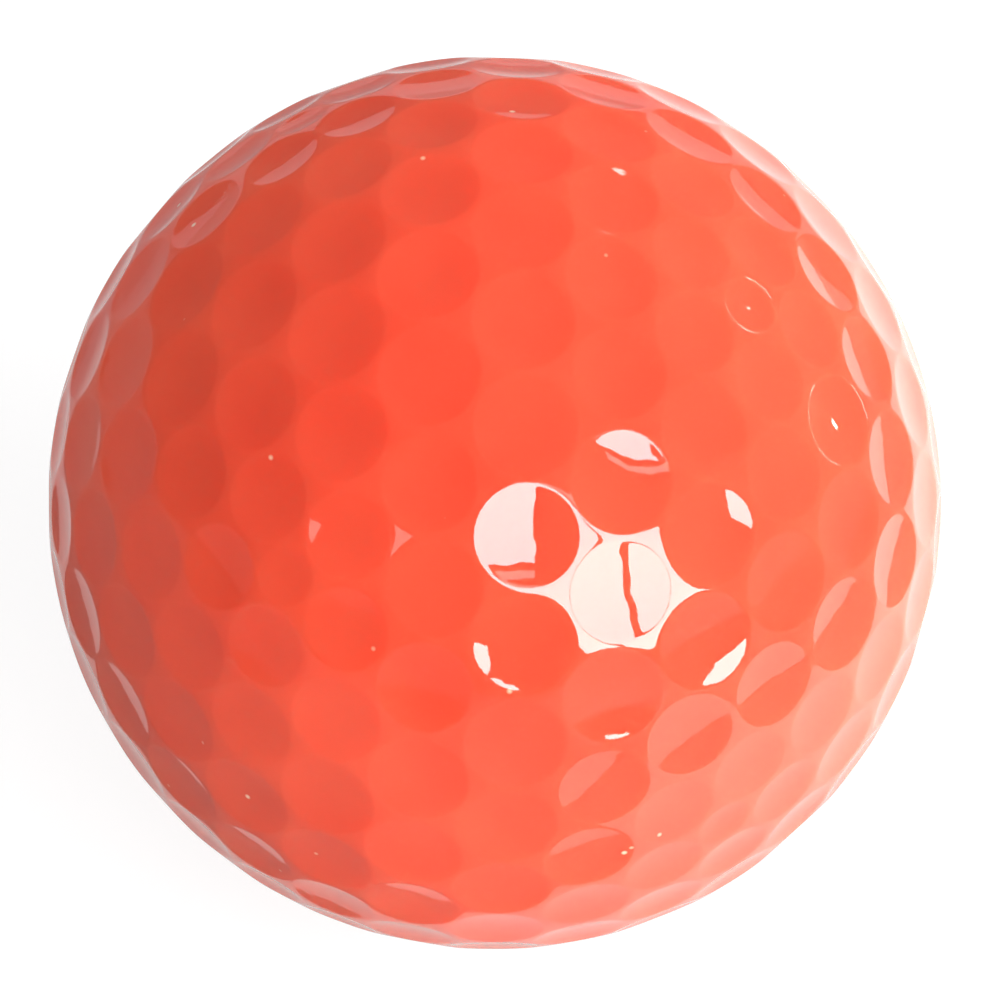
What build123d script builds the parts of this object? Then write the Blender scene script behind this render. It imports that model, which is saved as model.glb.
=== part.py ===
from build123d import *
import os
from itertools import combinations, permutations
from math import asin, degrees, radians, sin, sqrt, tan

# A two-piece golf ball: a solid rubber core inside a dimpled ionomer cover that is moulded onto it.
# Millimetres. The origin is the ball's centre and +Z is up.
# The 362 dimples lie on an icosahedron whose edges are each divided in six. X, Y and Z are three of
# its two-fold axes, so XY, YZ and ZX are mirror planes of the whole pattern.

BALL_DIAMETER = 42.67       # over the lands between the dimples: the smallest that the Rules of Golf allow
COVER_THICKNESS = 2.0       # from the core to the lands
SMALL_DIMPLE = 2.5          # rim diameters
MEDIUM_DIMPLE = 3.6
LARGE_DIMPLE = 3.95
EXTRA_LARGE_DIMPLE = 4.25
RIM_ANGLE = 12.5            # degrees, between the ball's surface and the dimple's wall where they meet
RIM_ROUNDING = 0.6          # radius of the rolled rim, left by the mould and the paint
EDGE_DIVISIONS = 6          # dimple steps along each edge of the icosahedron
CORNER_PULL = 0.045         # of a step: the dimples on an edge stand this much nearer to its corner
CENTRE_PULL = 0.03          # of the way: those inside a face stand this much nearer to its centre
CORNER_SPACING = 63.435     # degrees between neighbouring corners of the icosahedron
DIRECTION_DECIMALS = 4      # two directions that agree this far are the same dimple's
CUTTER_TOP = 0.5            # how far a dimple's cutter stands above its rim, clear of the ball

ball_radius = BALL_DIAMETER / 2
core_radius = ball_radius - COVER_THICKNESS
golden = (1 + sqrt(5)) / 2


def icosahedron_corners():
    """The twelve corners, as unit vectors, with a two-fold axis along X, Y and Z."""
    corners = []
    for a in (-1, 1):
        for b in (-golden, golden):
            corners += [Vector(a, 0, b), Vector(0, b, a), Vector(b, a, 0)]
    return [corner.normalized() for corner in corners]


def icosahedron_faces(corners):
    """Every three corners that are all next to each other."""
    longest = 1.1 * CORNER_SPACING
    return [
        trio
        for trio in combinations(corners, 3)
        if all(one.get_angle(other) < longest for one, other in combinations(trio, 2))
    ]


def dimple_directions(faces, weights):
    """Unit vectors to one family: the weighted mean of each face's corners, taken every way round."""
    found = {}
    for trio in faces:
        for order in permutations(trio):
            mean = Vector(0, 0, 0)
            for corner, weight in zip(order, weights):
                mean += corner * weight
            direction = mean.normalized()
            key = tuple(round(value, DIRECTION_DECIMALS) + 0.0 for value in direction)
            found[key] = direction
    return list(found.values())


def dimple_cutter(diameter):
    """The solid that scoops out one dimple: its rim is in the plane z = 0, and the bowl is below it."""
    half = diameter / 2
    slope = RIM_ANGLE - degrees(asin(half / ball_radius))   # the wall's slope from the rim's plane
    depth = half * tan(radians(slope) / 2)
    with BuildPart() as cutter:
        with BuildSketch(Plane.XZ):
            with BuildLine():
                RadiusArc((0, -depth), (half, 0), -half / sin(radians(slope)))
                Polyline((half, 0), (half, CUTTER_TOP), (0, CUTTER_TOP), (0, -depth))
            make_face()
        revolve(axis=Axis.Z)
    return cutter.part


def on_edge(steps):
    """Corner weights of the dimple that many steps along an edge from its corner."""
    return (EDGE_DIVISIONS - steps + CORNER_PULL, steps - CORNER_PULL, 0)


def inside_face(*steps):
    """Corner weights of a dimple inside a face, drawn towards the face's centre."""
    centre = EDGE_DIVISIONS / 3
    return tuple(step + CENTRE_PULL * (centre - step) for step in steps)


# Each family of dimples: the weights of a face's three corners, and the rim's diameter.
families = {
    "corner": ((1, 0, 0), SMALL_DIMPLE),
    "beside a corner": (on_edge(1), MEDIUM_DIMPLE),
    "second along an edge": (on_edge(2), LARGE_DIMPLE),
    "middle of an edge": ((1, 1, 0), EXTRA_LARGE_DIMPLE),
    "first inside a face": (inside_face(4, 1, 1), LARGE_DIMPLE),
    "around a face's centre": (inside_face(3, 2, 1), EXTRA_LARGE_DIMPLE),
    "face's centre": ((1, 1, 1), EXTRA_LARGE_DIMPLE),
}

faces = icosahedron_faces(icosahedron_corners())
seats = {}
for family, (weights, diameter) in families.items():
    rim_height = sqrt(ball_radius**2 - (diameter / 2) ** 2)
    seats[family] = [
        Location(Plane(origin=direction * rim_height, z_dir=direction))
        for direction in dimple_directions(faces, weights)
    ]
print("dimples:", sum(len(places) for places in seats.values()))

# The core: a solid ball of cross-linked polybutadiene rubber.
with BuildPart() as core:
    Sphere(core_radius)
core.part.label = "core"

# The cover: a closed shell of ionomer, with its inner face on the core.
with BuildPart() as cover:
    Sphere(ball_radius)
    for family, (_, diameter) in families.items():
        with Locations(*seats[family]):
            add(dimple_cutter(diameter), mode=Mode.SUBTRACT)
    circles = cover.edges().filter_by(GeomType.CIRCLE)
    rims = circles.filter_by(lambda edge: edge.radius < EXTRA_LARGE_DIMPLE)
    fillet(rims, RIM_ROUNDING)
    Sphere(core_radius, mode=Mode.SUBTRACT)
cover.part.label = "cover"

os.makedirs("parts", exist_ok=True)
export_step(core.part, "parts/core.step")
export_step(cover.part, "parts/cover.step")
print("core mm3:", round(core.part.volume, 1))
print("cover mm3:", round(cover.part.volume, 1), "faces:", len(cover.part.faces()), "valid:", cover.part.is_valid)
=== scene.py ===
from itertools import combinations, permutations
from math import asin, atan2, cos, pi, radians, sin, sqrt

import bmesh
import bpy
import numpy as np
from mathutils import Matrix, Vector


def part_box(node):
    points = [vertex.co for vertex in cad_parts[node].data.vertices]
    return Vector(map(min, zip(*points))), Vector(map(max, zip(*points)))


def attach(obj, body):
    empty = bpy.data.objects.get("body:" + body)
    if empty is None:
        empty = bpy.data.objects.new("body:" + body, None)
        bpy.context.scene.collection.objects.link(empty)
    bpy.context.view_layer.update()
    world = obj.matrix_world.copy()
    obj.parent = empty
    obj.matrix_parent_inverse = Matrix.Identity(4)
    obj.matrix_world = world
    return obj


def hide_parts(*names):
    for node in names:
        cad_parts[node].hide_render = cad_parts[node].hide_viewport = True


# The golf ball's looks, in metres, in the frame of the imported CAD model.

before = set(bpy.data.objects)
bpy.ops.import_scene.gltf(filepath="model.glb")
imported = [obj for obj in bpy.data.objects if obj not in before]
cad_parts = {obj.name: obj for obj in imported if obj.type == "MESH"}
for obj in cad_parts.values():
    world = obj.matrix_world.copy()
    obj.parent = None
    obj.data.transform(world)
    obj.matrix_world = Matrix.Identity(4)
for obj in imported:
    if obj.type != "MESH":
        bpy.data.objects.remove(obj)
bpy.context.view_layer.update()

MM = 0.001
SMALL_DIMPLE = 2.5 * MM         # rim diameters, as in the CAD cover
MEDIUM_DIMPLE = 3.6 * MM
LARGE_DIMPLE = 3.95 * MM
EXTRA_LARGE_DIMPLE = 4.25 * MM
RIM_ANGLE = radians(12.5)       # between the ball's surface and the dimple's wall
RIM_SOFTNESS = 0.013 * MM       # depth over which the paint rounds a rim
EDGE_DIVISIONS = 6              # dimple steps along an edge of the icosahedron
CORNER_PULL = 0.045             # of a step, towards the corner, for the dimples on an edge
CENTRE_PULL = 0.03              # of the way to the face's centre, for those inside a face
DIRECTION_DECIMALS = 4          # two directions that agree this far are the same dimple's
NEXT_DIMPLE = radians(14.5)     # neighbours are up to 12.2 degrees apart, and the next ones over 17

SECTOR_STEPS = 6                # mesh steps along a rim, from one neighbouring dimple to the next
BOWL_RING = 0.55                # of the way from a dimple's middle to its rim
RIM_RINGS = [offset * MM for offset in (-0.20, -0.11, -0.05, 0.01, 0.08)]        # out from the rim


def farthest_vertex(node):
    """Radius of the ball that just holds a CAD node."""
    return max(vertex.co.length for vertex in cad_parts[node].data.vertices)


BALL_RADIUS = farthest_vertex("cover")
CORE_RADIUS = farthest_vertex("core")


# ---- The dimple pattern -------------------------------------------------------------------------

def icosahedron_faces():
    """Corner trios of the icosahedron that has a two-fold axis along X, Y and Z."""
    golden = (1 + sqrt(5)) / 2
    corners = []
    for a in (-1, 1):
        for b in (-golden, golden):
            corners += [(a, 0, b), (0, b, a), (b, a, 0)]
    corners = [np.array(corner) / np.linalg.norm(corner) for corner in corners]
    cos_neighbour = 0.44        # the cosine between neighbouring corners is 0.447
    return [
        trio
        for trio in combinations(corners, 3)
        if all(p @ q > cos_neighbour for p, q in combinations(trio, 2))
    ]


def on_edge(steps):
    """Corner weights of the dimple that many steps along an edge from its corner."""
    return (EDGE_DIVISIONS - steps + CORNER_PULL, steps - CORNER_PULL, 0)


def inside_face(*steps):
    """Corner weights of a dimple inside a face, drawn towards the face's centre."""
    centre = EDGE_DIVISIONS / 3
    return tuple(step + CENTRE_PULL * (centre - step) for step in steps)


def dimple_pattern():
    """Every dimple's direction, and its rim's diameter."""
    families = [
        ((1, 0, 0), SMALL_DIMPLE),
        (on_edge(1), MEDIUM_DIMPLE),
        (on_edge(2), LARGE_DIMPLE),
        ((1, 1, 0), EXTRA_LARGE_DIMPLE),
        (inside_face(4, 1, 1), LARGE_DIMPLE),
        (inside_face(3, 2, 1), EXTRA_LARGE_DIMPLE),
        ((1, 1, 1), EXTRA_LARGE_DIMPLE),
    ]
    directions, diameters = [], []
    faces = icosahedron_faces()
    for weights, diameter in families:
        found = {}
        for trio in faces:
            for order in permutations(trio):
                mean = sum(weight * corner for weight, corner in zip(weights, order))
                mean = mean / np.linalg.norm(mean)
                found[tuple(np.round(mean, DIRECTION_DECIMALS) + 0.0)] = mean
        directions += found.values()
        diameters += [diameter] * len(found)
    return np.array(directions), np.array(diameters)


def tangent_frame(axis):
    """Two unit vectors that make a right-handed set with axis."""
    side = np.cross(axis, (0.0, 0.0, 1.0) if abs(axis[2]) < 0.9 else (1.0, 0.0, 0.0))
    side = side / np.linalg.norm(side)
    return side, np.cross(axis, side)


def neighbours_in_order(directions):
    """For each dimple, its neighbours anticlockwise and the angle to each in its tangent frame."""
    cosines = directions @ directions.T
    around = []
    for i, axis in enumerate(directions):
        side, up = tangent_frame(axis)
        near = [j for j in np.flatnonzero(cosines[i] > cos(NEXT_DIMPLE)) if j != i]
        angles = [atan2(directions[j] @ up, directions[j] @ side) for j in near]
        order = np.argsort(angles)
        around.append(([near[k] for k in order], [angles[k] for k in order]))
    return around


# ---- The cover ----------------------------------------------------------------------------------

def bowl_shape(diameter):
    """A bowl's radius, and the height of its centre along the dimple's axis."""
    half = diameter / 2
    slope = RIM_ANGLE - asin(half / BALL_RADIUS)
    radius = half / sin(slope)
    return radius, sqrt(BALL_RADIUS**2 - half**2) + radius * cos(slope)


def painted_surface(outward, directions, diameters):
    """Points and normals of the painted surface along the unit vectors in outward.

    The paint rounds the rims, so the surface is the ball less the smoothed depth of every dimple.
    """
    depth = np.zeros(len(outward))
    gradient = np.zeros_like(outward)
    for axis, diameter in zip(directions, diameters):
        radius, centre = bowl_shape(diameter)
        cosine = outward @ axis
        near = np.flatnonzero(cosine > cos(NEXT_DIMPLE))
        cosine = cosine[near]
        sine = np.sqrt(np.maximum(1 - cosine**2, 1e-12))
        root = np.sqrt(np.maximum(radius**2 - (centre * sine) ** 2, 1e-12))
        bowl_depth = BALL_RADIUS - centre * cosine + root
        slope = centre * sine - centre**2 * sine * cosine / root
        depth[near] += RIM_SOFTNESS * np.logaddexp(0, bowl_depth / RIM_SOFTNESS)
        share = 1 / (1 + np.exp(-bowl_depth / RIM_SOFTNESS))
        away = (outward[near] * cosine[:, None] - axis) / sine[:, None]
        gradient[near] += (share * slope)[:, None] * away
    height = (BALL_RADIUS - depth)[:, None]
    normals = height * outward + gradient
    normals = normals / np.linalg.norm(normals, axis=1)[:, None]
    return height * outward, normals


def dimpled_surface():
    """Points, normals and faces of the ball's outer surface.

    Rings of faces go down into each dimple, and a patch of land lies between every three dimples.
    """
    directions, diameters = dimple_pattern()
    around = neighbours_in_order(directions)
    outward, faces = [], []
    rim_start = []              # index of each dimple's outermost ring
    for axis, diameter, (near, angles) in zip(directions, diameters, around):
        side, up = tangent_frame(axis)
        turns = []
        for k, angle in enumerate(angles):
            gap = (angles[(k + 1) % len(angles)] - angle) % (2 * pi)
            turns += [angle + gap * step / SECTOR_STEPS for step in range(SECTOR_STEPS)]
        away = [cos(turn) * side + sin(turn) * up for turn in turns]
        rim = asin(diameter / 2 / BALL_RADIUS)
        rings = [BOWL_RING * rim] + [rim + offset / BALL_RADIUS for offset in RIM_RINGS]
        middle = len(outward)
        outward.append(axis)
        for ring in rings:
            outward += [axis * cos(ring) + direction * sin(ring) for direction in away]
        count = len(turns)
        for k in range(count):
            following = (k + 1) % count
            faces.append((middle, middle + 1 + k, middle + 1 + following))
            for ring in range(len(rings) - 1):
                inner = middle + 1 + ring * count
                outer = inner + count
                faces.append((inner + k, outer + k, outer + following, inner + following))
        rim_start.append(len(outward) - count)

    def rim_arc(i, start, end):
        """Rim vertices of dimple i clockwise, from neighbour start's side to neighbour end's."""
        near = around[i][0]
        first = near.index(start) * SECTOR_STEPS
        if near[near.index(start) - 1] != end:
            raise ValueError("the neighbours aren't next to each other")
        count = len(near) * SECTOR_STEPS
        return [rim_start[i] + (first - step) % count for step in range(SECTOR_STEPS + 1)]

    for i, (near, _) in enumerate(around):
        for position, j in enumerate(near):
            k = near[(position + 1) % len(near)]
            if i > min(j, k):
                continue
            border = rim_arc(i, k, j) + rim_arc(j, i, k) + rim_arc(k, j, i)
            middle = sum(outward[vertex] for vertex in border)
            middle = middle / np.linalg.norm(middle)
            inner = len(outward)
            for vertex in border:
                between = outward[vertex] + middle
                outward.append(between / np.linalg.norm(between))
            centre = len(outward)
            outward.append(middle)
            count = len(border)
            for m in range(count):
                following = (m + 1) % count
                faces.append((border[m], border[following], inner + following, inner + m))
                faces.append((inner + m, inner + following, centre))
    points, normals = painted_surface(np.array(outward), directions, diameters)
    return points, normals, faces


def inner_face():
    """Vertices, normals and faces of the round face that lies on the core."""
    ball = bmesh.new()
    bmesh.ops.create_icosphere(ball, subdivisions=5, radius=CORE_RADIUS)
    points = [np.array(vertex.co) for vertex in ball.verts]
    normals = [-point / CORE_RADIUS for point in points]
    faces = [tuple(vertex.index for vertex in reversed(face.verts)) for face in ball.faces]
    ball.free()
    return points, normals, faces


def make_cover():
    points, normals, faces = dimpled_surface()
    inner_points, inner_normals, inner_faces = inner_face()
    offset = len(points)
    faces += [tuple(offset + index for index in face) for face in inner_faces]
    mesh = bpy.data.meshes.new("cover_shell")
    mesh.from_pydata(np.concatenate([points, inner_points]).tolist(), [], faces)
    mesh.polygons.foreach_set("use_smooth", [True] * len(mesh.polygons))
    mesh.normals_split_custom_set_from_vertices(np.concatenate([normals, inner_normals]).tolist())
    shell = bpy.data.objects.new("cover_shell", mesh)
    bpy.context.scene.collection.objects.link(shell)
    return shell


# ---- Materials ----------------------------------------------------------------------------------

def new_material(name):
    material = bpy.data.materials.new(name)
    material.use_nodes = True
    nodes = material.node_tree.nodes
    return material, nodes, material.node_tree.links, nodes["Principled BSDF"]


def noise(nodes, links, coordinates, size, detail):
    """Noise whose features are about that size, in metres."""
    texture = nodes.new("ShaderNodeTexNoise")
    texture.inputs["Scale"].default_value = 1 / size
    texture.inputs["Detail"].default_value = detail
    links.new(coordinates, texture.inputs["Vector"])
    return texture.outputs["Fac"]


def ramp(nodes, links, value, stops):
    node = nodes.new("ShaderNodeValToRGB")
    links.new(value, node.inputs["Fac"])
    elements = node.color_ramp.elements
    for element, (position, colour) in zip(elements, stops):
        element.position = position
        element.color = colour
    return node.outputs["Color"]


def grey(value):
    return (value, value, value, 1)


def bump(nodes, links, height, distance):
    node = nodes.new("ShaderNodeBump")
    node.inputs["Distance"].default_value = distance
    links.new(height, node.inputs["Height"])
    return node.outputs["Normal"]


def map_range(nodes, links, value, low, high, to_low=0.0, to_high=1.0):
    node = nodes.new("ShaderNodeMapRange")
    links.new(value, node.inputs["Value"])
    node.inputs["From Min"].default_value = low
    node.inputs["From Max"].default_value = high
    node.inputs["To Min"].default_value = to_low
    node.inputs["To Max"].default_value = to_high
    return node.outputs["Result"]


def math_node(nodes, links, operation, *values):
    node = nodes.new("ShaderNodeMath")
    node.operation = operation
    for socket, value in zip(node.inputs, values):
        if isinstance(value, float):
            socket.default_value = value
        else:
            links.new(value, socket)
    return node.outputs["Value"]


def vector_node(nodes, links, operation, vector, constant=(0, 0, 0)):
    node = nodes.new("ShaderNodeVectorMath")
    node.operation = operation
    links.new(vector, node.inputs[0])
    node.inputs[1].default_value = constant
    return node.outputs["Value"]


NIB_SPACING = 3.2 * MM
NIB_RADIUS = 0.16 * MM
NIB_CORE = 0.4                  # of a nib's radius, where it has its full colour


def dust_nibs(nodes, links, coordinates):
    """1 in small scattered dots, and 0 elsewhere."""
    cells = nodes.new("ShaderNodeTexVoronoi")
    cells.inputs["Scale"].default_value = 1 / NIB_SPACING
    links.new(coordinates, cells.inputs["Vector"])
    edge = NIB_RADIUS / NIB_SPACING
    return map_range(nodes, links, cells.outputs["Distance"], edge, NIB_CORE * edge)


def cover_material():
    """Red-orange pigmented ionomer, in which light spreads, under a thick clear coat."""
    material, nodes, links, shader = new_material("cover_gloss")
    coordinates = nodes.new("ShaderNodeTexCoord").outputs["Object"]
    mottle = noise(nodes, links, coordinates, 7 * MM, detail=3.0)
    colour = ramp(nodes, links, mottle, [(0.3, (0.79, 0.067, 0.032, 1)), (0.7, (0.87, 0.086, 0.042, 1))])
    flecked = nodes.new("ShaderNodeMix")
    flecked.data_type = "RGBA"
    links.new(dust_nibs(nodes, links, coordinates), flecked.inputs["Factor"])
    links.new(colour, flecked.inputs["A"])
    flecked.inputs["B"].default_value = (1.0, 0.50, 0.34, 1)
    links.new(flecked.outputs["Result"], shader.inputs["Base Color"])
    shader.inputs["Roughness"].default_value = 0.5
    shader.inputs["Specular IOR Level"].default_value = 0.0
    shader.inputs["Subsurface Weight"].default_value = 1.0
    shader.inputs["Subsurface Radius"].default_value = (1.0, 0.6, 0.45)
    shader.inputs["Subsurface Scale"].default_value = 5 * MM
    shader.inputs["Coat Weight"].default_value = 1.0
    shader.inputs["Coat IOR"].default_value = 1.52
    shader.inputs["Coat Roughness"].default_value = 0.015
    # Orange peel: the clear coat is slightly wavy.
    peel = noise(nodes, links, coordinates, 1.3 * MM, detail=1.0)
    links.new(bump(nodes, links, peel, 0.010 * MM), shader.inputs["Coat Normal"])
    return material


def core_material():
    """Dull moulded rubber with a fine grain."""
    material, nodes, links, shader = new_material("core_rubber")
    coordinates = nodes.new("ShaderNodeTexCoord").outputs["Object"]
    mottle = noise(nodes, links, coordinates, 2 * MM, detail=4.0)
    colour = ramp(nodes, links, mottle, [(0.3, (0.40, 0.10, 0.05, 1)), (0.7, (0.50, 0.14, 0.07, 1))])
    links.new(colour, shader.inputs["Base Color"])
    grain = noise(nodes, links, coordinates, 0.4 * MM, detail=4.0)
    links.new(ramp(nodes, links, grain, [(0.3, grey(0.55)), (0.7, grey(0.75))]), shader.inputs["Roughness"])
    links.new(bump(nodes, links, grain, 0.02 * MM), shader.inputs["Normal"])
    return material


# ---- Camera, floor and light --------------------------------------------------------------------

CAMERA_AZIMUTH = 27.04          # degrees; a camera at 0 looks along +Y
CAMERA_ELEVATION = 45.51
CAMERA_ROLL = 4.58
CAMERA_DISTANCE = 5.50          # ball radii
BALL_SHARE = 0.8918             # of the picture's width that the ball fills
BALL_OFFSET = (-0.0063, -0.0016)        # from the picture's middle to the ball's, in picture widths
FLOOR_HALF_WIDTH = 1.5
FLOOR_GREY = 0.22
FLOOR_GLOW = 0.8                # added to what the camera sees of the floor, but not to its light
ROOM_GLOW = 0.85                # likewise, for the room behind it


def direction_to(azimuth, elevation):
    azimuth, elevation = radians(azimuth), radians(elevation)
    return Vector((sin(azimuth) * cos(elevation), -cos(azimuth) * cos(elevation), sin(elevation)))


def make_camera():
    data = bpy.data.cameras.new("camera")
    camera = bpy.data.objects.new("camera", data)
    bpy.context.scene.collection.objects.link(camera)
    # The ball's outline is a cone whose half-angle has the sine 1 / CAMERA_DISTANCE and this tangent.
    outline = 1 / sqrt(CAMERA_DISTANCE**2 - 1)
    half_width = outline / BALL_SHARE
    data.sensor_width = 36
    data.lens = data.sensor_width / (2 * half_width)
    data.shift_x = -BALL_OFFSET[0]
    data.shift_y = -BALL_OFFSET[1]
    data.clip_start = 0.005
    place = direction_to(CAMERA_AZIMUTH, CAMERA_ELEVATION)
    camera.location = place * CAMERA_DISTANCE * BALL_RADIUS
    look = place.to_track_quat("Z", "Y").to_matrix()
    roll = Matrix.Rotation(radians(CAMERA_ROLL), 3, "Z")
    camera.rotation_euler = (look @ roll).to_euler()
    bpy.context.scene.camera = camera


def make_floor():
    """A pale floor. What the ball reflects of it is dimmer than what the camera sees."""
    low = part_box("cover")[0].z
    mesh = bpy.data.meshes.new("floor")
    half = FLOOR_HALF_WIDTH
    corners = [(-half, -half, low), (half, -half, low), (half, half, low), (-half, half, low)]
    mesh.from_pydata(corners, [], [(0, 1, 2, 3)])
    floor = bpy.data.objects.new("floor", mesh)
    bpy.context.scene.collection.objects.link(floor)
    material, nodes, links, shader = new_material("floor")
    shader.inputs["Base Color"].default_value = grey(FLOOR_GREY)
    shader.inputs["Roughness"].default_value = 0.8
    shader.inputs["Specular IOR Level"].default_value = 0.2
    shader.inputs["Emission Color"].default_value = grey(1)
    seen = nodes.new("ShaderNodeLightPath").outputs["Is Camera Ray"]
    links.new(math_node(nodes, links, "MULTIPLY", seen, FLOOR_GLOW), shader.inputs["Emission Strength"])
    mesh.materials.append(material)


def reflected_sheet(name, outlines, place):
    """Flat shapes that only the ball's reflections see. place turns an outline's (x, y) into a point."""
    points, faces = [], []
    for outline in outlines:
        faces.append(tuple(range(len(points), len(points) + len(outline))))
        points += [place(x, y) for x, y in outline]
    mesh = bpy.data.meshes.new(name)
    mesh.from_pydata(points, [], faces)
    sheet = bpy.data.objects.new(name, mesh)
    bpy.context.scene.collection.objects.link(sheet)
    sheet.visible_camera = False
    sheet.visible_diffuse = False
    sheet.visible_shadow = False
    return sheet


def glow(sheet, colour, fade=None, shade=None):
    """Lights a sheet in that colour.

    fade is (axis, start, end, far colour): the colour turns into the far one between those distances
    along the axis. shade is (near, far, share): up to near from the ball's centre, only that share of
    the light is left.
    """
    material = bpy.data.materials.new(sheet.name)
    material.use_nodes = True
    nodes, links = material.node_tree.nodes, material.node_tree.links
    nodes.clear()
    place = nodes.new("ShaderNodeTexCoord").outputs["Object"]
    emission = nodes.new("ShaderNodeEmission")
    emission.inputs["Color"].default_value = (*colour, 1)
    if fade:
        axis, start, end, far_colour = fade
        along = vector_node(nodes, links, "DOT_PRODUCT", place, axis)
        mix = nodes.new("ShaderNodeMix")
        mix.data_type = "RGBA"
        links.new(map_range(nodes, links, along, start, end), mix.inputs["Factor"])
        mix.inputs["A"].default_value = (*colour, 1)
        mix.inputs["B"].default_value = (*far_colour, 1)
        links.new(mix.outputs["Result"], emission.inputs["Color"])
    if shade:
        near, far, share = shade
        reach = vector_node(nodes, links, "LENGTH", place)
        links.new(map_range(nodes, links, reach, near, far, share, 1.0), emission.inputs["Strength"])
    output = nodes.new("ShaderNodeOutputMaterial")
    links.new(emission.outputs["Emission"], output.inputs["Surface"])
    sheet.data.materials.append(material)


# The window stands upright, a metre from the ball. Its panes are outlined in metres, to the right of
# the point that is nearest to the ball and up from the height of the ball.
WINDOW_TURN = 11.5              # degrees to the right of the camera
WINDOW_LEFT = -0.05
MULLION = (0.355, 0.385)
LEFT_HEAD = [(WINDOW_LEFT, 0.94), (0.20, 0.94), (MULLION[0], 0.99)]
RIGHT_HEAD = [(MULLION[1], 1.0), (0.49, 0.985), (0.58, 0.945), (0.66, 0.86)]
# Things on the sill hide the left pane's lower corner.
LEFT_PANE = [
    (WINDOW_LEFT, 0.43),
    *LEFT_HEAD,
    (MULLION[0], 0.08),
    (0.265, 0.08),
    (0.23, 0.11),
    (0.19, 0.16),
    (0.095, 0.19),
    (0.095, 0.27),
    (0.085, 0.325),
    (0.015, 0.365),
    (-0.035, 0.40),
]
RIGHT_PANE = [
    (MULLION[1], 0.08),
    *RIGHT_HEAD,
    (0.79, 0.72),
    (0.91, 0.57),
    (0.93, 0.24),
    (0.80, 0.16),
    (0.68, 0.14),
    (0.60, 0.10),
]
# The dimmer strip above the window's head, behind a bar.
TRANSOM_PANE = [
    *[(x, y + 0.05) for x, y in LEFT_HEAD + RIGHT_HEAD],
    *[(x, y + 0.12) for x, y in reversed(LEFT_HEAD + RIGHT_HEAD)],
]
# Bright scraps of the view below the sill.
SCRAPS = [
    [(0.43, -0.105), (0.445, -0.14), (0.50, -0.165), (0.555, -0.15), (0.55, -0.11), (0.49, -0.125)],
    [(0.40, -0.24), (0.41, -0.28), (0.47, -0.285), (0.465, -0.25)],
]


def make_window():
    facing = direction_to(CAMERA_AZIMUTH + WINDOW_TURN, 0)
    across = direction_to(CAMERA_AZIMUTH + WINDOW_TURN + 90, 0)

    def on_window(x, y):
        return facing + across * x + Vector((0, 0, y))

    panes = reflected_sheet("window", [LEFT_PANE, RIGHT_PANE], on_window)
    glow(panes, (18.5, 18.0, 17.5), fade=((0, 0, 1), 0.1, 0.95, (15.0, 14.2, 15.0)))
    scraps = reflected_sheet("scraps", SCRAPS, on_window)
    glow(scraps, (14.0, 13.0, 12.0))
    transom = reflected_sheet("transom", [TRANSOM_PANE], on_window)
    glow(transom, (4.5, 4.2, 4.0))


# Smaller lights, a metre from the ball: each one's name, degrees right of the camera, elevation, half
# width, half height and radiance.
LAMP_TINT = (1.0, 0.97, 0.9)
LAMPS = [
    ("pale_patch", -26, 32, 0.06, 0.08, 3.4),
    ("high_lamp", 149, 55, 0.022, 0.014, 14.0),
    ("far_lamp", 121, 31, 0.012, 0.016, 40.0),
    ("low_lamp", 109, 7, 0.012, 0.016, 40.0),
]


def make_lamps():
    for name, right, elevation, half_width, half_height, radiance in LAMPS:
        facing = direction_to(CAMERA_AZIMUTH + right, elevation)
        across = direction_to(CAMERA_AZIMUTH + right + 90, 0)
        up = facing.cross(across)

        def on_lamp(x, y, facing=facing, across=across, up=up):
            return facing + across * x + up * y

        outline = [
            (-half_width, -half_height),
            (-0.4 * half_width, half_height),
            (half_width, 0.6 * half_height),
            (0.7 * half_width, -0.8 * half_height),
        ]
        lamp = reflected_sheet(name, [outline], on_lamp)
        glow(lamp, tuple(radiance * tint for tint in LAMP_TINT))


# The lit part of the table, outlined in ball radii, to the right of the ball and towards the camera.
TABLE_END = -16.0               # its far edge
TABLE_HALF_WIDTH = 14.0         # at the far edge
TABLE_LIGHT = [
    (0.7, 1.5),
    (1.05, 2.35),
    (1.5, 2.8),
    (2.5, 3.15),
    (3.8, 3.25),
    (3.8, 0.5),
    (3.4, -0.7),
    (5.2, -2.2),
    (8.8, -6.3),
    (TABLE_HALF_WIDTH, TABLE_END),
    (-TABLE_HALF_WIDTH, TABLE_END),
    (-4.0, -3.0),
    (-1.5, 0.3),
]
BACKDROP_HEIGHT = 3.0           # above the table's far edge
TABLE_RISE = 0.2 * MM           # of the lit part, above the floor


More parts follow.
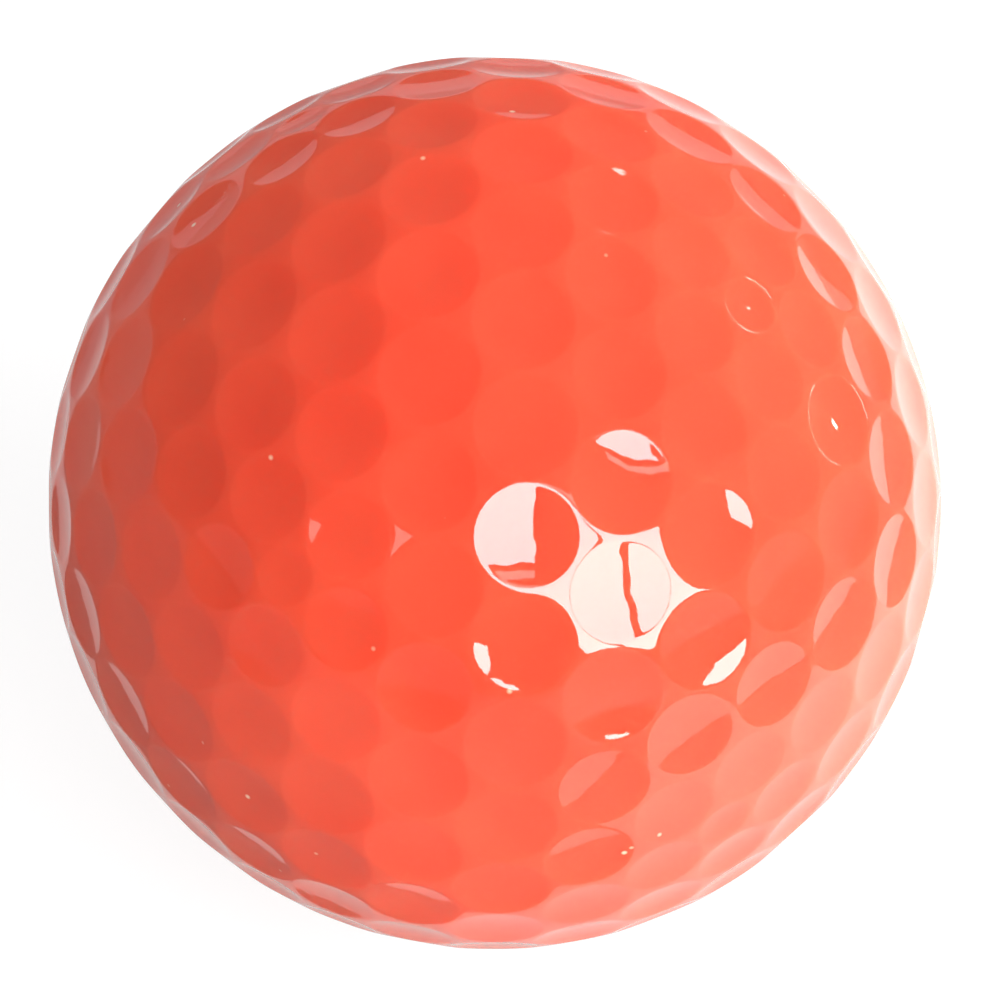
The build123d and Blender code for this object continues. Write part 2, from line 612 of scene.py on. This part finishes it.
def make_table_light():
    towards = direction_to(CAMERA_AZIMUTH, 0)
    right = direction_to(CAMERA_AZIMUTH + 90, 0)
    level = Vector((0, 0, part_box("cover")[0].z + TABLE_RISE))

    def on_table(x, y):
        return (right * x + towards * y) * BALL_RADIUS + level

    def on_backdrop(x, height):
        return on_table(x, TABLE_END) + Vector((0, 0, height * BALL_RADIUS))

    table = reflected_sheet("table_light", [TABLE_LIGHT], on_table)
    # It is brightest to the right and towards the camera, and dim under the ball.
    fade = (direction_to(CAMERA_AZIMUTH + 65, 0), -3.5 * BALL_RADIUS, 1.7 * BALL_RADIUS, (2.0, 1.9, 1.85))
    glow(table, (0.35, 0.35, 0.37), fade, shade=(1.2 * BALL_RADIUS, 3.2 * BALL_RADIUS, 0.5))
    far = TABLE_HALF_WIDTH
    board = [(-far, 0), (-far, BACKDROP_HEIGHT), (far, BACKDROP_HEIGHT), (far, 0)]
    backdrop = reflected_sheet("backdrop", [board], on_backdrop)
    glow(backdrop, (0.5, 0.5, 0.55), fade=(right, -far * BALL_RADIUS, far * BALL_RADIUS, (0.7, 0.7, 0.7)))


# Lights without a reflection: each one's name, degrees right of the camera, elevation, strength and
# the angle that it spreads over.
SOFT_LIGHTS = [
    ("key", 58, 8, 11.0, 80),
    ("fill", 0, 85, 0.25, 170),
    ("left_fill", -70, 20, 1.4, 150),
    ("back_fill", 180, 5, 1.4, 150),
]


def make_soft_light(name, right, elevation, strength, spread):
    data = bpy.data.lights.new(name, "SUN")
    data.energy = strength
    data.angle = radians(spread)
    light = bpy.data.objects.new(name, data)
    bpy.context.scene.collection.objects.link(light)
    towards_light = direction_to(CAMERA_AZIMUTH + right, elevation)
    light.rotation_euler = towards_light.to_track_quat("Z", "Y").to_euler()
    light.visible_glossy = False


# The room's dim walls and ceiling: degrees right of the camera, elevation and radiance.
WALLS = [(-90, 0, 0.09), (90, 0, 0.12), (180, 0, 0.15), (0, 0, 0.04), (0, 90, 0.12)]


def make_room():
    """A world that glows softly from each wall, and looks pale to the camera."""
    world = bpy.data.worlds.new("room")
    bpy.context.scene.world = world
    world.use_nodes = True
    nodes, links = world.node_tree.nodes, world.node_tree.links
    direction = nodes.new("ShaderNodeTexCoord").outputs["Generated"]
    seen = nodes.new("ShaderNodeLightPath").outputs["Is Camera Ray"]
    total = math_node(nodes, links, "MULTIPLY", seen, ROOM_GLOW)
    for right, elevation, radiance in WALLS:
        wall = direction_to(CAMERA_AZIMUTH + right, elevation)
        facing = vector_node(nodes, links, "DOT_PRODUCT", direction, wall)
        ahead = math_node(nodes, links, "MAXIMUM", facing, 0.0)
        squared = math_node(nodes, links, "MULTIPLY", ahead, ahead)
        lobe = math_node(nodes, links, "MULTIPLY", squared, radiance)
        total = math_node(nodes, links, "ADD", total, lobe)
    links.new(total, nodes["Background"].inputs["Strength"])
    nodes["Background"].inputs["Color"].default_value = grey(1)


# ---- Putting it together ------------------------------------------------------------------------

cover = make_cover()
cover.data.materials.append(cover_material())
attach(cover, "root")
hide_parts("cover")

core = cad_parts["core"]
core.data.materials.clear()
core.data.materials.append(core_material())

make_camera()
make_floor()
make_room()
make_window()
make_table_light()
make_lamps()
for soft_light in SOFT_LIGHTS:
    make_soft_light(*soft_light)
bpy.context.scene.view_settings.view_transform = "Standard"
